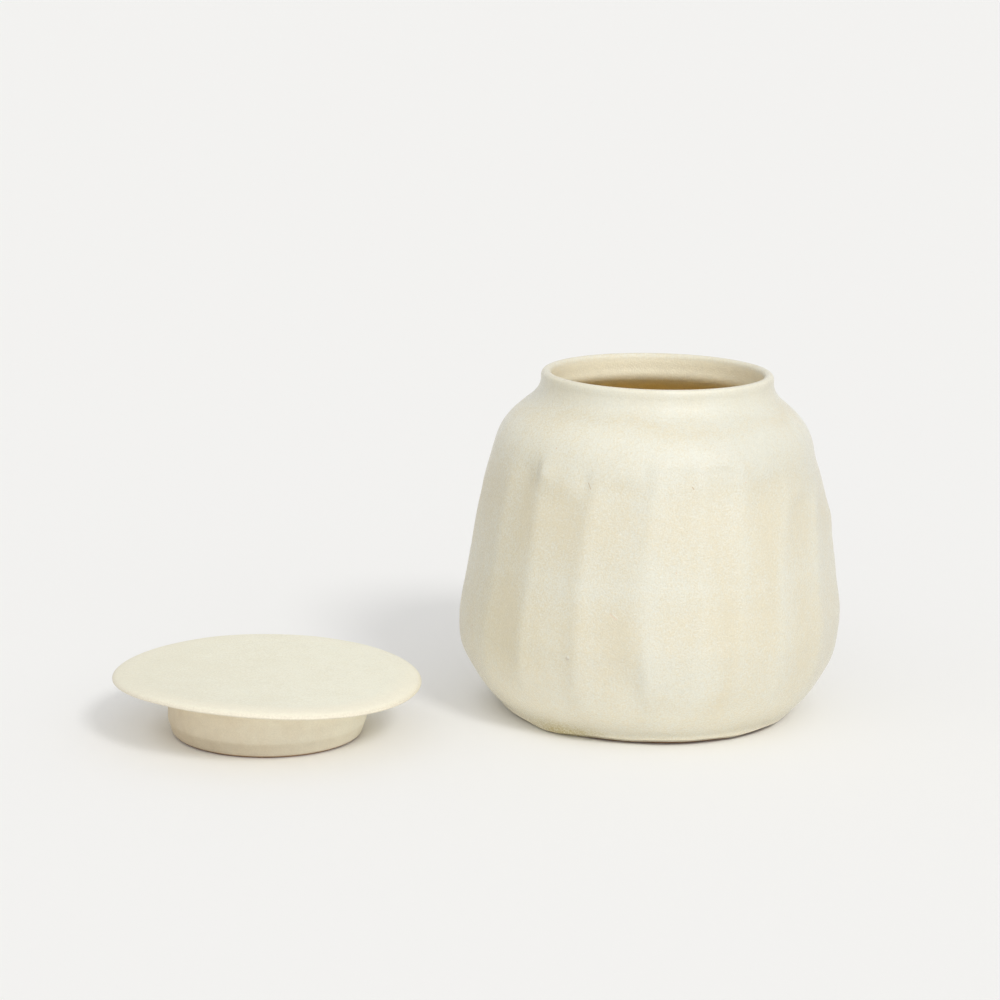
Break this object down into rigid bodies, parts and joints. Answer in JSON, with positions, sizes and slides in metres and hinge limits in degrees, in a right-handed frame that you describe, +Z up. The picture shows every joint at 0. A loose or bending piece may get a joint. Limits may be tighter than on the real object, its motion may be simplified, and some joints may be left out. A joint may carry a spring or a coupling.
{
  "type": "lidded jar",
  "caption": "Round stoneware jar with a fluted belly, short neck and open mouth, and its flat loose lid, which stands beside it on the hollow flange that drops into the mouth.",
  "frame": {"origin": "centre of the jar's foot, on the surface that it stands on", "axes": "+Z up along the jar's axis, +X from the lid towards the jar as seen from the front, front towards -Y"},
  "size_m": [0.2725, 0.1739, 0.1308],
  "materials": {
    "jar_glaze": "satin cream glaze on stoneware",
    "lid_glaze": "satin cream glaze on stoneware"
  },
  "bodies": {
    "jar": {"jar_body": "jar_glaze"},
    "lid": {"lid": "lid_glaze"}
  },
  "joints": [
    {"name": "lid_lift", "type": "slide", "parent": "jar", "child": "lid", "axis": [0, 0, 1], "range_m": [0, 0.15]}
  ]
}
